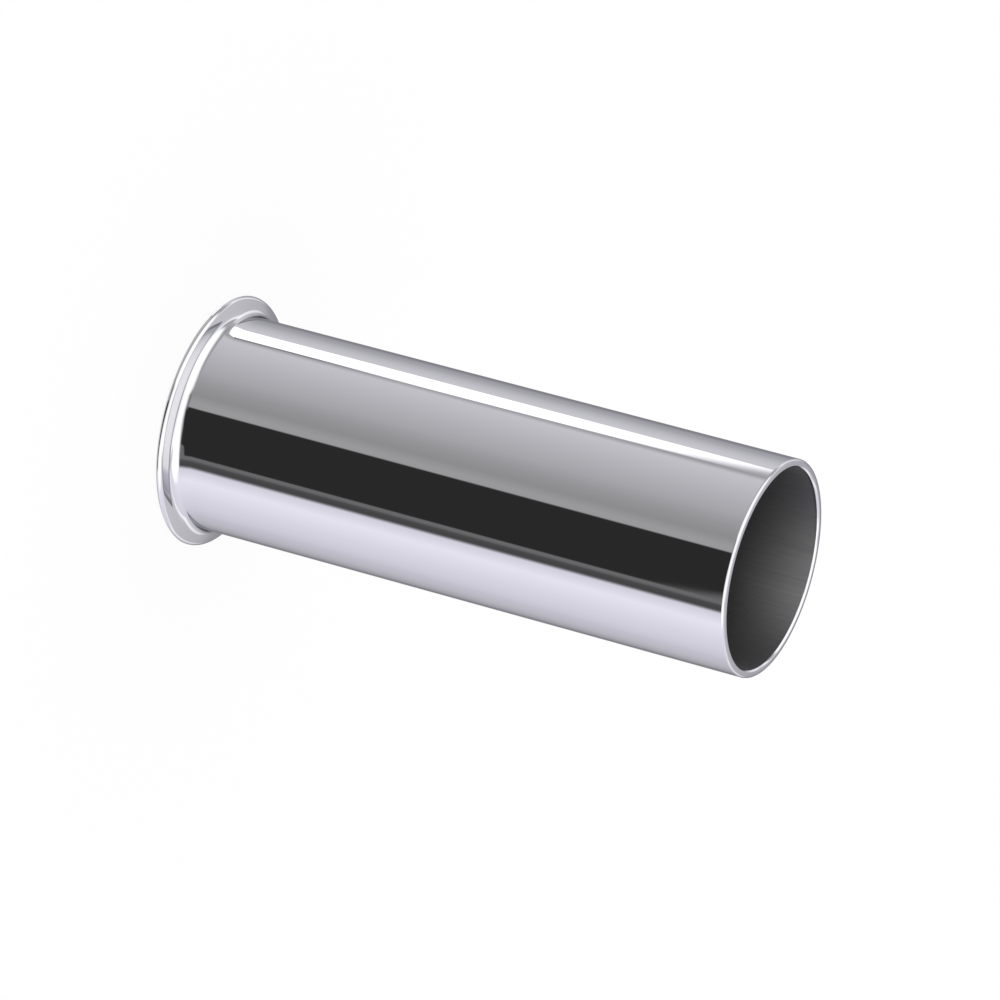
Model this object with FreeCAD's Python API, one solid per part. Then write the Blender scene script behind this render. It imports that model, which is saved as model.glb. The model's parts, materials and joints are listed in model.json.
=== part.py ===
import FreeCAD, Part
import math
import os
from FreeCAD import Vector

# A basin waste tail pipe: thin brass tube with one end flared outwards into a sealing flange.
# It stands on its flange. The origin is the centre of the flange's flat sealing face, +Z runs
# along the axis towards the plain end, and every size is in millimetres.

# Tube
overall_length = 90.0
tube_outer_diameter = 32.0
tube_wall = 1.2

# Flange, which carries the washer on its flat side and the union nut on the other
flange_reach = 2.75       # how far the flange stands out past the tube, all round
throat_radius = 1.35      # hollow curve outside, where the tube turns out into the flange
edge_thinning = 0.2       # metal lost at the flange's edge as the tube end is stretched outwards
rim_round = 0.6           # polished curve from the flange's front over to its rim
rim_bevel = 0.2           # broken edge between the rim and the sealing face

# Plain end, cut square, deburred inside and polished round outside
outer_edge_round = 0.37
inner_edge_bevel = 0.25


def on_circle(centre, radius, angle):
    """Point on a circle in the section's plane, with the angle measured from +X towards +Z."""
    return centre + Vector(math.cos(angle), 0, math.sin(angle)) * radius


def arc(centre, radius, first_angle, last_angle):
    """Arc edge from the first angle to the last."""
    middle_angle = (first_angle + last_angle) / 2
    return Part.Arc(
        on_circle(centre, radius, first_angle),
        on_circle(centre, radius, middle_angle),
        on_circle(centre, radius, last_angle),
    ).toShape()


def flange_face_tilt(rim_centre, bend_centre):
    """Slope of the flange's front, which thins towards the rim.

    Its line touches the rim's round on one side and the throat's hollow curve on the other.
    """
    across = bend_centre - rim_centre
    spread = math.hypot(across.x, across.z)
    lean = math.atan2(across.x, across.z)
    return lean + math.acos((rim_round + throat_radius) / spread)


def wall_section():
    """Half section of the wall, from the sealing face up to the plain end."""
    outer_radius = tube_outer_diameter / 2
    bore_radius = outer_radius - tube_wall
    flange_radius = outer_radius + flange_reach

    # The wall keeps its thickness round the bend, so both bend curves share a centre.
    mouth_radius = throat_radius + tube_wall
    bend_centre = Vector(outer_radius + throat_radius, 0, mouth_radius)

    edge_thickness = tube_wall - edge_thinning
    rim_centre = Vector(flange_radius - rim_round, 0, edge_thickness - rim_round)
    tilt = flange_face_tilt(rim_centre, bend_centre)
    front_normal = math.pi / 2 - tilt

    end_centre = Vector(outer_radius - outer_edge_round, 0, overall_length - outer_edge_round)

    stretches = [
        Part.makeLine(Vector(flange_radius - rim_bevel, 0, 0), Vector(flange_radius, 0, rim_bevel)),
        arc(rim_centre, rim_round, 0, front_normal),
        arc(bend_centre, throat_radius, front_normal + math.pi, math.pi),
        arc(end_centre, outer_edge_round, 0, math.pi / 2),
        Part.makeLine(
            Vector(bore_radius + inner_edge_bevel, 0, overall_length),
            Vector(bore_radius, 0, overall_length - inner_edge_bevel),
        ),
        arc(bend_centre, mouth_radius, math.pi, 3 * math.pi / 2),
    ]

    # Straight runs join each stretch to the next, and the last closes the section.
    edges = []
    for stretch, following in zip(stretches, stretches[1:] + stretches[:1]):
        edges.append(stretch)
        edges.append(Part.makeLine(stretch.lastVertex().Point, following.firstVertex().Point))
    return Part.Face(Part.Wire(edges))


def tail_pipe():
    """The whole pipe, turned from its wall section."""
    return wall_section().revolve(Vector(0, 0, 0), Vector(0, 0, 1), 360)


os.makedirs("parts", exist_ok=True)
tail_pipe().exportStep("parts/tail_pipe.step")
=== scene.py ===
import json
import math

import bmesh
import bpy
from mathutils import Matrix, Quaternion, Vector


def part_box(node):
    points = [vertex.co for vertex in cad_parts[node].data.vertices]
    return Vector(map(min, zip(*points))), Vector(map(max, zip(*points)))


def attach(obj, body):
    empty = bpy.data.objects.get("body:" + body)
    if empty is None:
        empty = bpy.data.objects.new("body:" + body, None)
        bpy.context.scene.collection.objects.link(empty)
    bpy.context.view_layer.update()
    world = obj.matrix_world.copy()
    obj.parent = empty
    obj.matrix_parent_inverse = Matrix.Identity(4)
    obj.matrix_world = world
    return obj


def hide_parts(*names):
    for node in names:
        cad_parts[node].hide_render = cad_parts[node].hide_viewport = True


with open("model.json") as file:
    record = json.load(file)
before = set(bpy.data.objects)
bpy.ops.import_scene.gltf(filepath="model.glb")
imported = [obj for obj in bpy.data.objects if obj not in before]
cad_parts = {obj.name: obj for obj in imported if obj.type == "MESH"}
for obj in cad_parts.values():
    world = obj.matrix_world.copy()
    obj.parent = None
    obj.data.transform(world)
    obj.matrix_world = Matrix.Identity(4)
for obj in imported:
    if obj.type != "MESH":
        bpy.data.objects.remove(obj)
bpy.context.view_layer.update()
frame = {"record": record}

# Pipe: one length of drawn brass tube, 32 mm across, cut square at the plain end. The other end is
# heated and spun outwards over a former, which bends the wall through a right angle into a flange a
# little thinner than the tube. The bends follow the CAD section, and the edges are a little softer.
MM = 0.001
right_angle = math.pi / 2
mount_sizes = {mount["name"]: mount["dims"] for mount in frame["record"]["mounts"]}
outer_radius = mount_sizes["plain_end"]["r_mm"] * MM
bore_radius = mount_sizes["waterway"]["r_mm"] * MM
tube_wall = outer_radius - bore_radius
flange_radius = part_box("tail_pipe")[1].x
pipe_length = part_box("tail_pipe")[1].z

throat_radius = 1.35 * MM
mouth_radius = throat_radius + tube_wall
flange_edge = 1.0 * MM
rim_round = 0.6 * MM
rim_bevel = 0.3 * MM
end_round = 0.42 * MM
end_bevel = 0.25 * MM
softened_edge = 0.04 * MM

# Polishing has dressed the outer half of the end face down towards its edge.
end_slope = math.radians(4)
end_slope_reach = 0.68 * MM
end_slope_blend = 0.22 * MM
end_drop = end_slope_reach * math.tan(end_slope)

# The flange's front slopes so that its line touches both the throat's curve and the rim's.
rise = mouth_radius - flange_edge + rim_round
inset = flange_radius - rim_round - outer_radius - throat_radius
front_tilt = math.acos((rim_round + throat_radius) / math.hypot(rise, inset)) - math.atan2(inset, rise)
rim_touch = Vector((flange_radius - rim_round, 0, flange_edge - rim_round))
rim_touch += Vector((math.sin(front_tilt), 0, math.cos(front_tilt))) * rim_round
throat_height = rim_touch.z + (rim_touch.x - outer_radius) * math.tan(front_tilt)

# Polishing has worn the front a little further down towards the rim.
worn_tilt = front_tilt + math.radians(3.5)
worn_radius = 17.7 * MM
worn_blend = 0.5 * MM
worn_height = throat_height - (worn_radius - outer_radius) * math.tan(front_tilt)
rim_height = worn_height - (flange_radius - worn_radius) * math.tan(worn_tilt)

# Spinning has drawn the wall outwards a little before the bend itself.
flare_start = 3.3 * MM
flare_lean = math.radians(4)
flare_blend = 0.82 * MM
lean_share = math.tan(flare_lean) * math.tan(front_tilt)
bend_height = (throat_height - flare_start * lean_share) / (1 - lean_share)
bend_radius = outer_radius + (flare_start - bend_height) * math.tan(flare_lean)

# How finely each curve of the section and the whole turn are divided, and the shares of the length
# at which the long walls are cut across so that they shade evenly
bend_steps = 20
flare_steps = 10
rim_steps = 14
end_steps = 12
blend_steps = 6
softening_steps = 3
turning_steps = 256
cross_cuts = (0.05, 0.1, 0.3, 0.5, 0.7, 0.9, 0.95)
merge_distance = 0.001 * MM
sharp_angle = math.radians(32)


def bend_offset(radius, turn):
    """How far from a corner its curve starts, for a curve of that radius and turn."""
    return radius * math.tan(turn / 2)


def pick_corner(radius, height):
    """Selects only the section's corner at that radius and height."""
    bpy.ops.mesh.select_all(action="DESELECT")
    section = bmesh.from_edit_mesh(bpy.context.object.data)
    place = Vector((radius, 0, height))
    nearest = min(section.verts, key=lambda corner: (corner.co - place).length)
    nearest.select_set(True)
    section.select_flush(True)
    bmesh.update_edit_mesh(bpy.context.object.data)


def round_corner(radius, height, offset, segments=1):
    """Turns a corner of the section into a curve, or into a bevel where it has one segment."""
    pick_corner(radius, height)
    bpy.ops.mesh.bevel(
        offset_type="OFFSET", offset=offset, segments=segments, profile=0.5,
        affect="VERTICES", clamp_overlap=False,
    )


bpy.ops.object.select_all(action="DESELECT")
bpy.ops.mesh.primitive_plane_add(size=1, location=(0, 0, 0), rotation=(right_angle, 0, 0))
pipe = bpy.context.object
pipe.name = "tail_pipe_spun"
pipe.data.name = "tail_pipe_spun"
bpy.ops.object.transform_apply(location=True, rotation=True, scale=True)

# The wall's half section is drawn from the bore's foot round to its top, with sharp corners.
corners = [
    Vector((bore_radius, 0, 0)),
    Vector((flange_radius, 0, 0)),
    Vector((flange_radius, 0, rim_height)),
    Vector((worn_radius, 0, worn_height)),
    Vector((bend_radius, 0, bend_height)),
    Vector((outer_radius, 0, flare_start)),
    Vector((outer_radius, 0, pipe_length - end_drop)),
    Vector((outer_radius - end_slope_reach, 0, pipe_length)),
    Vector((bore_radius, 0, pipe_length)),
]
bpy.ops.object.mode_set(mode="EDIT")
bpy.ops.mesh.select_mode(type="VERT")
bpy.ops.mesh.select_all(action="SELECT")
bpy.ops.mesh.merge(type="CENTER")
bpy.ops.transform.translate(value=corners[0])
for corner, following in zip(corners, corners[1:]):
    bpy.ops.mesh.extrude_region_move(TRANSFORM_OT_translate={"value": following - corner})
bpy.ops.mesh.select_all(action="SELECT")
bpy.ops.mesh.edge_face_add()

# The flange's bends and edges, outside and then inside
throat_offset = bend_offset(throat_radius, right_angle - front_tilt - flare_lean)
round_corner(bend_radius, bend_height, throat_offset, bend_steps)
round_corner(outer_radius, flare_start, flare_blend, flare_steps)
round_corner(flange_radius, rim_height, bend_offset(rim_round, right_angle - worn_tilt), rim_steps)
round_corner(worn_radius, worn_height, worn_blend, blend_steps)
round_corner(flange_radius, 0, rim_bevel)
round_corner(bore_radius, 0, mouth_radius, bend_steps)

# The plain end's edges, and then the corners that its bevel and the flange's leave
end_offset = bend_offset(end_round, right_angle - end_slope)
round_corner(outer_radius, pipe_length - end_drop, end_offset, end_steps)
round_corner(outer_radius - end_slope_reach, pipe_length, end_slope_blend, blend_steps)
round_corner(bore_radius, pipe_length, end_bevel)
round_corner(bore_radius + end_bevel, pipe_length, softened_edge, softening_steps)
round_corner(bore_radius, pipe_length - end_bevel, softened_edge, softening_steps)
round_corner(flange_radius - rim_bevel, 0, softened_edge, softening_steps)

# The section is turned about the pipe's axis into the whole wall.
bpy.ops.mesh.select_all(action="SELECT")
bpy.ops.mesh.delete(type="ONLY_FACE")
bpy.ops.mesh.select_all(action="SELECT")
bpy.ops.mesh.spin(steps=turning_steps, angle=2 * math.pi, center=(0, 0, 0), axis=(0, 0, 1))
bpy.ops.mesh.select_all(action="SELECT")
bpy.ops.mesh.remove_doubles(threshold=merge_distance)
for share in cross_cuts:
    bpy.ops.mesh.select_all(action="SELECT")
    bpy.ops.mesh.bisect(plane_co=(0, 0, share * pipe_length), plane_no=(0, 0, 1))
bpy.ops.mesh.select_all(action="SELECT")
bpy.ops.mesh.normals_make_consistent(inside=False)
bpy.ops.object.mode_set(mode="OBJECT")
bpy.ops.object.shade_smooth_by_angle(angle=sharp_angle)
even_shading = pipe.modifiers.new("even_shading", "WEIGHTED_NORMAL")
even_shading.keep_sharp = True
even_shading.weight = 100
bpy.ops.object.modifier_apply(modifier=even_shading.name)


# Finish: the outside, both ends and the flared mouth are nickel and chrome plated over polished
# brass, so they mirror the room. The straight bore is left as it was drawn, dull, with lines along it.
def add_node(tree, kind, **settings):
    """A new node with the named settings."""
    node = tree.nodes.new(kind)
    for name, setting in settings.items():
        setattr(node, name, setting)
    return node


def add_math(tree, operation, first, second):
    """The sum, product or the like of two values, where each is a socket or a number."""
    node = add_node(tree, "ShaderNodeMath", operation=operation)
    for socket, value in zip(node.inputs, (first, second)):
        if isinstance(value, bpy.types.NodeSocket):
            tree.links.new(value, socket)
        else:
            socket.default_value = value
    return node.outputs[0]


def add_step(tree, value, start, end, low=0.0, high=1.0):
    """A smooth change from the low to the high value, while the given value goes from start to end."""
    node = add_node(tree, "ShaderNodeMapRange", interpolation_type="SMOOTHSTEP")
    for name, number in (("From Min", start), ("From Max", end), ("To Min", low), ("To Max", high)):
        node.inputs[name].default_value = number
    tree.links.new(value, node.inputs["Value"])
    return node.outputs["Result"]


def add_mix(tree, share, first, second):
    """A blend of two colours, where each is a socket or a colour."""
    node = add_node(tree, "ShaderNodeMix", data_type="RGBA")
    tree.links.new(share, node.inputs["Factor"])
    for name, value in (("A", first), ("B", second)):
        if isinstance(value, bpy.types.NodeSocket):
            tree.links.new(value, node.inputs[name])
        else:
            node.inputs[name].default_value = (*value, 1)
    return node.outputs["Result"]


def lengthwise_lines_group():
    """Soft uneven lines along the pipe, as drawing leaves them, between 0 and 1."""
    drawn_length = (1, 1, 0.02)     # the lines run on 50 times as far along the pipe as across it
    faintest, strongest = 0.3, 0.7
    group = bpy.data.node_groups.new("lengthwise_lines", "ShaderNodeTree")
    group.interface.new_socket("Vector", in_out="INPUT", socket_type="NodeSocketVector")
    group.interface.new_socket("Lines per Metre", in_out="INPUT", socket_type="NodeSocketFloat")
    group.interface.new_socket("Lines", in_out="OUTPUT", socket_type="NodeSocketFloat")
    given = add_node(group, "NodeGroupInput")
    drawn_out = add_node(group, "ShaderNodeVectorMath", operation="MULTIPLY")
    drawn_out.inputs[1].default_value = drawn_length
    noise = add_node(group, "ShaderNodeTexNoise")
    noise.inputs["Detail"].default_value = 3
    group.links.new(given.outputs["Vector"], drawn_out.inputs[0])
    group.links.new(drawn_out.outputs["Vector"], noise.inputs["Vector"])
    group.links.new(given.outputs["Lines per Metre"], noise.inputs["Scale"])
    lines = add_step(group, noise.outputs["Fac"], faintest, strongest)
    result = add_node(group, "NodeGroupOutput")
    group.links.new(lines, result.inputs["Lines"])
    return group


lengthwise_lines = lengthwise_lines_group()


def add_lines(tree, place, lines_per_metre):
    """The lengthwise lines at the given fineness."""
    node = add_node(tree, "ShaderNodeGroup", node_tree=lengthwise_lines)
    node.inputs["Lines per Metre"].default_value = lines_per_metre
    tree.links.new(place, node.inputs["Vector"])
    return node.outputs["Lines"]


def add_bump(tree, height, depth, shader):
    """Raises and lowers the shaded surface by up to the given depth."""
    bump = add_node(tree, "ShaderNodeBump")
    bump.inputs["Strength"].default_value = 1
    bump.inputs["Distance"].default_value = depth
    tree.links.new(height, bump.inputs["Height"])
    tree.links.new(bump.outputs["Normal"], shader.inputs["Normal"])


def new_metal(name, colour):
    """A metal of one colour, with its node tree, its shader and the object's own coordinates."""
    material = bpy.data.materials.new(name)
    material.use_nodes = True
    tree = material.node_tree
    shader = tree.nodes["Principled BSDF"]
    shader.inputs["Base Color"].default_value = (*colour, 1)
    shader.inputs["Metallic"].default_value = 1
    place = add_node(tree, "ShaderNodeTexCoord").outputs["Object"]
    return material, tree, shader, place


def chrome_plate():
    """Bright plate, with the drawn tube's slight waves under it and a faint haze from handling."""
    face_on = (0.82, 0.82, 0.84)
    edge_on = (0.37, 0.37, 0.39)
    clear, hazy = 0.016, 0.034      # roughness of the plate
    smooth, ringed = 0.05, 0.16     # roughness that facing has added
    haze_per_metre = 90
    waves_per_metre = 90
    wave_depth = 0.0015 * MM
    rings_per_metre = 9000
    material, tree, shader, place = new_metal("polished_chrome_plate", face_on)
    shader.inputs["Specular Tint"].default_value = (*edge_on, 1)
    haze = add_node(tree, "ShaderNodeTexNoise")
    haze.inputs["Scale"].default_value = haze_per_metre
    haze.inputs["Detail"].default_value = 4
    tree.links.new(place, haze.inputs["Vector"])
    plate_roughness = add_step(tree, haze.outputs["Fac"], 0.35, 0.75, clear, hazy)

    # The cut end was faced in a lathe, and keeps a trace of its fine rings under the plate.
    split = add_node(tree, "ShaderNodeSeparateXYZ")
    tree.links.new(place, split.inputs[0])
    facing = add_step(tree, split.outputs["Z"], pipe_length - 0.2 * MM, pipe_length - 0.06 * MM)
    flat_place = add_node(tree, "ShaderNodeVectorMath", operation="MULTIPLY")
    flat_place.inputs[1].default_value = (1, 1, 0)
    tree.links.new(place, flat_place.inputs[0])
    from_axis = add_node(tree, "ShaderNodeVectorMath", operation="LENGTH")
    tree.links.new(flat_place.outputs["Vector"], from_axis.inputs[0])
    rings = add_node(tree, "ShaderNodeTexNoise", noise_dimensions="1D")
    rings.inputs["Scale"].default_value = rings_per_metre
    tree.links.new(from_axis.outputs["Value"], rings.inputs["W"])
    ring_roughness = add_step(tree, rings.outputs["Fac"], 0.3, 0.7, smooth, ringed)
    faced = add_math(tree, "MULTIPLY", facing, ring_roughness)
    roughness = add_math(tree, "ADD", plate_roughness, faced)
    tree.links.new(roughness, shader.inputs["Roughness"])

    waves = add_lines(tree, place, waves_per_metre)
    add_bump(tree, waves, wave_depth, shader)
    return material


def drawn_bore():
    """Dull unplated metal with broad and fine drawing lines, and painted shade that is darker down the pipe
    and at both sides.
    """
    dark = (0.47, 0.47, 0.48)
    bright = (0.79, 0.79, 0.8)
    # the colour of the painted shade in the bore
    painted_shade_colour = (0.1, 0.1, 0.105)
    rough, burnished = 0.72, 0.58   # roughness between the lines and on them
    broad_per_metre = 260
    fine_per_metre = 1700
    broad_share = 0.65
    line_depth = 0.01 * MM
    material, tree, shader, place = new_metal("drawn_bore", bright)
    broad = add_lines(tree, place, broad_per_metre)
    fine = add_lines(tree, place, fine_per_metre)
    broad_part = add_math(tree, "MULTIPLY", broad, broad_share)
    fine_part = add_math(tree, "MULTIPLY", fine, 1 - broad_share)
    both = add_math(tree, "ADD", broad_part, fine_part)
    lined = add_mix(tree, both, dark, bright)

    # Painted shade: darker down the pipe and more to either side, with a painted shadow line below the
    # end's left edge.
    left_shade_level, right_shade_level, edge_shadow_level = 0.73, 0.82, 1.3
    split = add_node(tree, "ShaderNodeSeparateXYZ")
    tree.links.new(place, split.inputs[0])
    across, height = split.outputs["X"], split.outputs["Z"]
    down = add_step(tree, height, pipe_length - 17 * MM, pipe_length + 3 * MM, 1, 0)
    left = add_step(tree, across, -bore_radius, 0.3 * bore_radius, left_shade_level, 0)
    right = add_step(tree, across, 0, bore_radius, 0, right_shade_level)
    beside = add_math(tree, "MAXIMUM", left, right)
    shared = add_math(tree, "MULTIPLY", down, beside)
    painted_shade = add_math(tree, "SUBTRACT", add_math(tree, "ADD", down, beside), shared)
    # The painted shadow line under the plain end's edge, on the bore's left side
    below_edge = add_step(tree, height, pipe_length - 1.1 * MM, pipe_length - 0.5 * MM, 0, edge_shadow_level)
    painted_edge_shadow = add_math(tree, "MULTIPLY", left, below_edge)
    painted_shade = add_math(tree, "MAXIMUM", painted_shade, painted_edge_shadow)
    tree.links.new(add_mix(tree, painted_shade, lined, painted_shade_colour), shader.inputs["Base Color"])
    tree.links.new(add_step(tree, both, 0, 1, rough, burnished), shader.inputs["Roughness"])
    add_bump(tree, fine, line_depth, shader)
    return material


pipe.data.materials.append(chrome_plate())
pipe.data.materials.append(drawn_bore())
for face in pipe.data.polygons:
    centre = face.center
    inside = math.hypot(centre.x, centre.y) < bore_radius + merge_distance
    straight = mouth_radius < centre.z < pipe_length - end_bevel
    face.material_index = 1 if inside and straight else 0

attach(pipe, "root")
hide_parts("tail_pipe")

# Floor: a plain white table top under the flange. It takes the pipe's shadow, and is left out of
# the plate's reflections, which show the studio all round.
floor_width = 12.0
white = (1, 1, 1, 1)
plain_white_share = 0.85    # of what the eye sees of it; the rest is lit and carries the shadow
bpy.ops.object.select_all(action="DESELECT")
bpy.ops.mesh.primitive_plane_add(size=floor_width, location=(0, 0, 0))
floor = bpy.context.object
floor.name = "floor"
floor.visible_glossy = False
white_top = bpy.data.materials.new("white_table_top")
white_top.use_nodes = True
top_tree = white_top.node_tree
top_shader = top_tree.nodes["Principled BSDF"]
top_shader.inputs["Base Color"].default_value = white
top_shader.inputs["Roughness"].default_value = 1
top_shader.inputs["Specular IOR Level"].default_value = 0
glow = add_node(top_tree, "ShaderNodeEmission")
glow.inputs["Color"].default_value = white
top_mix = add_node(top_tree, "ShaderNodeMixShader")
paths = add_node(top_tree, "ShaderNodeLightPath")
glow_share = add_math(top_tree, "MULTIPLY", paths.outputs["Is Camera Ray"], plain_white_share)
top_tree.links.new(glow_share, top_mix.inputs["Fac"])
top_tree.links.new(top_shader.outputs["BSDF"], top_mix.inputs[1])
top_tree.links.new(glow.outputs["Emission"], top_mix.inputs[2])
top_tree.links.new(top_mix.outputs["Shader"], top_tree.nodes["Material Output"].inputs["Surface"])
floor.data.materials.append(white_top)

# Studio: a room under a white ceiling, with one strip light on a stand, a grey sweep, a black flag and
# a white screen round the pipe. Only mirrored rays see them; the eye and the floor see plain white.
# Bearings are in degrees from the front towards +X, and elevations in degrees above the level.
full_turn, half_turn, quarter_turn = 360, 180, 90
cool = (1, 0.99, 1.04)
neutral = (1, 1, 1.01)
lavender = (1, 0.98, 1.09)
round_the_room = {
    # first and last bearing, brightness at each, tint
    "rear_dark": (-180, -165, 0.40, 0.54, cool),
    "rear_corner": (-158, -151, 0.74, 0.86, cool),
    "left_wall": (-142, -117.5, 0.765, 0.80, cool),
    "light_stand": (-113, -100, 0.52, 0.46, cool),
    "stand_edge": (-98, -96.8, 0.37, 0.46, cool),
    "grey_sweep": (-92.4, -45, 0.665, 0.46, cool),
    "sweep_turn": (-30, -19, 0.36, 0.32, neutral),
    "sweep_foot": (-10, -5.5, 0.39, 0.385, neutral),
    "black_flag": (-4.4, 45.5, 0.026, 0.026, neutral),
    "flag_edge": (46.4, 49, 0.172, 0.165, neutral),
    "flag_stand": (51.2, 57.2, 0.08, 0.066, neutral),
    "white_screen": (60.5, 73.5, 0.765, 0.95, lavender),
    "right_wall": (96, 126, 0.835, 0.785, lavender),
    "right_corner": (145, 154, 0.94, 0.97, cool),
    "rear_dark_end": (163, 180, 0.60, 0.40, cool),
}
ceiling_edge = [
    # bearing, then the elevations where the ceiling's light sets in and where it is full
    (-180, 50, 70),
    (-142, 50, 66),
    (-128, 42, 62),
    (-112, 28, 44),
    (-104, 12, 32),
    (-88, 4, 28),
    (-48, 0, 26),
    (-32, -14, 26),
    (-24, -16, 30),
    (-17, 4, 42),
    (-6, 2, 38),
    (8, -10, 38),
    (16, -21, 36),
    (32, -21, 12),
    (48, -21, 0),
    (58, -21, -8),
    (66, -18, 14),
    (74, -8, 24),
    (80, 14, 44),
    (88, 34, 68),
    (97, 58, 76),
    (180, 62, 76),
]
ceiling_level = 1.22
overhead_level = 1.02
world = bpy.data.worlds.new("studio")
bpy.context.scene.world = world
world.use_nodes = True
room_tree = world.node_tree
room_tree.nodes.clear()


def studio_panel_group():
    """The share of a rectangle with rounded corners, 1 on it and 0 past its soft edge."""
    group = bpy.data.node_groups.new("studio_panel", "ShaderNodeTree")
    names = ("Bearing", "Elevation", "Half Width", "Half Height", "Lean", "Corner", "Softness")
    for name in names:
        group.interface.new_socket(name, in_out="INPUT", socket_type="NodeSocketFloat")
    group.interface.new_socket("Share", in_out="OUTPUT", socket_type="NodeSocketFloat")
    given = add_node(group, "NodeGroupInput").outputs
    leaning = add_math(group, "MULTIPLY", given["Bearing"], given["Lean"])
    upright = add_math(group, "SUBTRACT", given["Elevation"], leaning)
    past = []
    for distance, half in ((given["Bearing"], given["Half Width"]), (upright, given["Half Height"])):
        core = add_math(group, "SUBTRACT", half, given["Corner"])
        outside = add_math(group, "SUBTRACT", add_math(group, "ABSOLUTE", distance, 0), core)
        past.append(add_math(group, "MAXIMUM", outside, 0))
    squares = [add_math(group, "MULTIPLY", length, length) for length in past]
    reach = add_math(group, "SQRT", add_math(group, "ADD", *squares), 0)
    beyond = add_math(group, "SUBTRACT", reach, given["Corner"])
    share = add_step(group, add_math(group, "DIVIDE", beyond, given["Softness"]), -1, 1, 1, 0)
    group.links.new(share, add_node(group, "NodeGroupOutput").inputs["Share"])
    return group


studio_panel = studio_panel_group()
direction = add_node(room_tree, "ShaderNodeTexCoord").outputs["Generated"]
split_direction = add_node(room_tree, "ShaderNodeSeparateXYZ")
room_tree.links.new(direction, split_direction.inputs[0])
forwards = add_math(room_tree, "MULTIPLY", split_direction.outputs["Y"], -1)
bearing = add_math(room_tree, "ARCTAN2", split_direction.outputs["X"], forwards)
bearing = add_math(room_tree, "MULTIPLY", bearing, half_turn / math.pi)
elevation = add_math(room_tree, "ARCSINE", split_direction.outputs["Z"], 0)
elevation = add_math(room_tree, "MULTIPLY", elevation, half_turn / math.pi)
turn_share = add_math(room_tree, "DIVIDE", add_math(room_tree, "ADD", bearing, half_turn), full_turn)


def ramp_by_bearing(stops):
    """A ramp round the room, with a colour at each bearing."""
    ramp = add_node(room_tree, "ShaderNodeValToRGB")
    room_tree.links.new(turn_share, ramp.inputs["Fac"])
    elements = ramp.color_ramp.elements
    elements.remove(elements[-1])
    elements[0].position = 0
    for number, (angle, colour) in enumerate(stops):
        element = elements.new((angle + half_turn) / full_turn) if number else elements[0]
        element.color = (*colour, 1)
    return ramp.outputs["Color"]


def ramp_of_heights(heights):
    """A ramp round the room that holds an elevation at each bearing, as its share from the foot up."""
    return ramp_by_bearing(
        [(angle, [(height + quarter_turn) / half_turn] * 3) for angle, height in heights]
    )


def add_panel(room, centre, half_size, colour, lean=0.0, corner=3.0, softness=3.0):
    """The room with a panel hung in it, centred on a bearing and an elevation."""
    panel = add_node(room_tree, "ShaderNodeGroup", node_tree=studio_panel)
    room_tree.links.new(add_math(room_tree, "SUBTRACT", bearing, centre[0]), panel.inputs["Bearing"])
    room_tree.links.new(add_math(room_tree, "SUBTRACT", elevation, centre[1]), panel.inputs["Elevation"])
    panel.inputs["Half Width"].default_value = half_size[0]
    panel.inputs["Half Height"].default_value = half_size[1]
    panel.inputs["Lean"].default_value = lean
    panel.inputs["Corner"].default_value = corner
    panel.inputs["Softness"].default_value = softness
    return add_mix(room_tree, panel.outputs["Share"], room, colour)


stops = []
for start, end, start_level, end_level, tint in round_the_room.values():
    stops.append((start, [start_level * part for part in tint]))
    stops.append((end, [end_level * part for part in tint]))
room = ramp_by_bearing(stops)

# The rear walls have a light band at the pipe's height and darken above it, and a dark frame
# stands where the left wall meets the ceiling.
light_band = (1.2, 1.19, 1.23)
upper_wall = (0.65, 0.65, 0.68)
to_the_rear = add_math(room_tree, "ABSOLUTE", bearing, 0)
past_the_sides = add_step(room_tree, to_the_rear, 120, 127)
short_of_the_rear = add_step(room_tree, to_the_rear, 158, 168, 1, 0)
rear_walls = add_math(room_tree, "MULTIPLY", past_the_sides, short_of_the_rear)
band = add_math(room_tree, "MULTIPLY", rear_walls, add_step(room_tree, elevation, 3, 9))
room = add_mix(room_tree, band, room, light_band)
behind = add_step(room_tree, to_the_rear, 124, 140)
above = add_math(room_tree, "MULTIPLY", behind, add_step(room_tree, elevation, 15, 21))
room = add_mix(room_tree, above, room, upper_wall)
room = add_panel(room, centre=(-117, 27), half_size=(7, 13), colour=(0.43, 0.43, 0.45))

# The grey sweep darkens upwards to its top, and a dark upright stands beside the black flag.
room = add_panel(
    room, centre=(-71, 5), half_size=(35, 17), colour=(0.37, 0.37, 0.385), corner=5, softness=8,
)
room = add_panel(room, centre=(-10.5, 4), half_size=(7.5, 18), colour=(0.23, 0.23, 0.24))

# The strip light stands before its own stand, with a dark edge along its lower right.
room = add_panel(
    room, centre=(-107.4, -40), half_size=(8.75, 18.2), colour=(1.7, 1.7, 1.72), lean=-0.08, softness=0.8,
)
room = add_panel(
    room, centre=(-98.7, -28), half_size=(1.2, 3.2), colour=(0.27, 0.27, 0.28), corner=0.6, softness=0.6,
)

# The black flag's upper corner is bound with grey.
room = add_panel(
    room, centre=(41.2, -14.6), half_size=(7.3, 7), colour=(0.165, 0.165, 0.167), lean=-0.08, softness=0.5,
)

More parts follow.
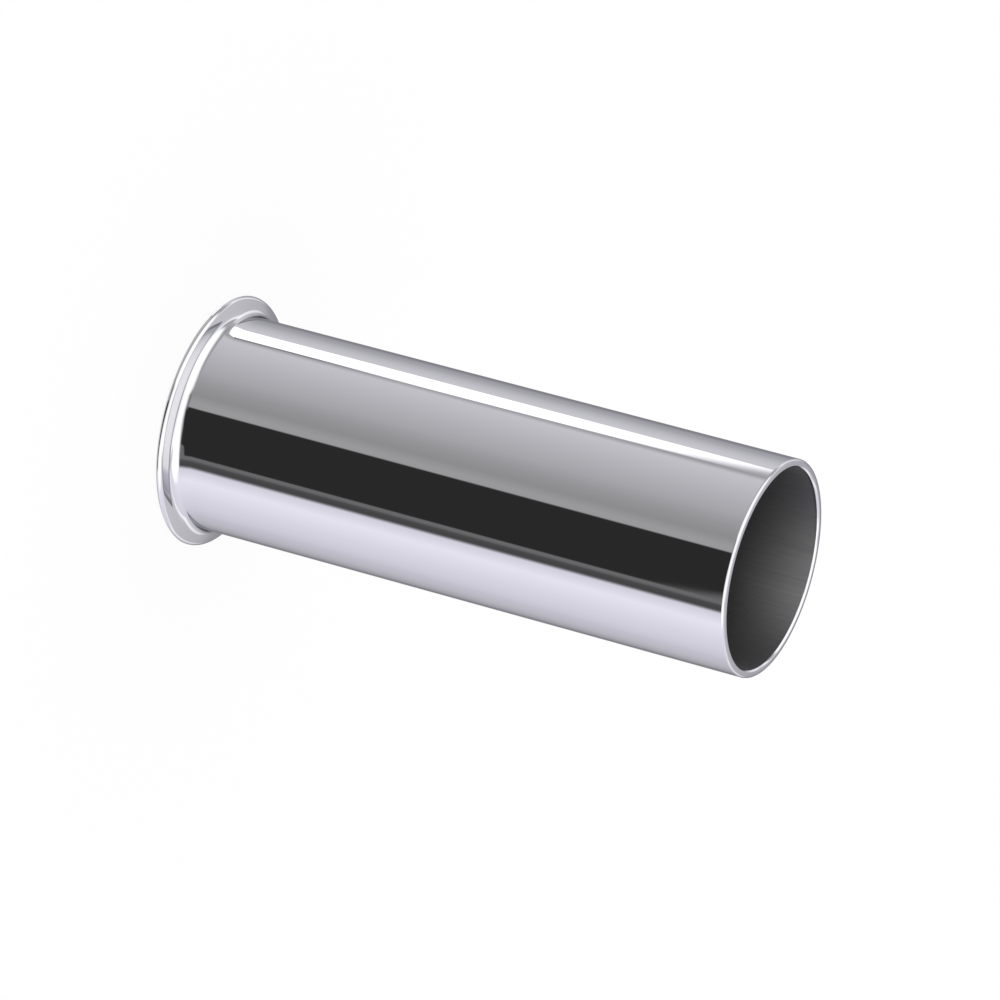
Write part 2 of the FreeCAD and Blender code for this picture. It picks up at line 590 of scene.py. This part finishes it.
# The ceiling is a little less bright straight overhead.
sets_in = ramp_of_heights([(angle, low) for angle, low, high in ceiling_edge])
full_at = ramp_of_heights([(angle, high) for angle, low, high in ceiling_edge])
height_share = add_math(room_tree, "DIVIDE", add_math(room_tree, "ADD", elevation, quarter_turn), half_turn)
ceiling_share = add_node(room_tree, "ShaderNodeMapRange", interpolation_type="SMOOTHSTEP")
room_tree.links.new(height_share, ceiling_share.inputs["Value"])
room_tree.links.new(sets_in, ceiling_share.inputs["From Min"])
room_tree.links.new(full_at, ceiling_share.inputs["From Max"])
overhead = add_step(room_tree, elevation, 72, 84, ceiling_level, overhead_level)
ceiling = add_node(room_tree, "ShaderNodeCombineXYZ")
for socket in ceiling.inputs:
    room_tree.links.new(overhead, socket)
room = add_mix(room_tree, ceiling_share.outputs["Result"], room, ceiling.outputs["Vector"])

# A dark rail runs round the right side under the ceiling, and the table top is white.
room = add_panel(room, centre=(110, 65), half_size=(42, 3.4), colour=(0.62, 0.62, 0.65))
table_top = (1.2, 1.2, 1.2)
room = add_mix(room_tree, add_step(room_tree, elevation, -48, -38, 1, 0), room, table_top)

plain_white = (1, 1, 1)
mirrored = add_node(room_tree, "ShaderNodeLightPath").outputs["Is Glossy Ray"]
background = add_node(room_tree, "ShaderNodeBackground")
room_tree.links.new(add_mix(room_tree, mirrored, plain_white, room), background.inputs["Color"])
world_output = add_node(room_tree, "ShaderNodeOutputWorld")
room_tree.links.new(background.outputs["Background"], world_output.inputs["Surface"])

# Camera: a long lens, a little above the pipe's end, rolled so that the pipe lies across the
# picture with its plain end to the right and its axis 15 degrees down.
camera_place = Vector((0, -926.84, 450.86)) * MM
aim = Vector((0.62, 0, 46.53)) * MM
camera_roll = math.radians(105.065)
bpy.ops.object.camera_add(location=camera_place)
camera = bpy.context.object
camera.name = "camera"
camera.data.sensor_width = 36
camera.data.lens = 253.29
camera.rotation_mode = "QUATERNION"
level = (aim - camera_place).to_track_quat("-Z", "Y")
camera.rotation_quaternion = level @ Quaternion((0, 0, 1), camera_roll)
bpy.context.scene.camera = camera
bpy.context.scene.view_settings.view_transform = "Standard"
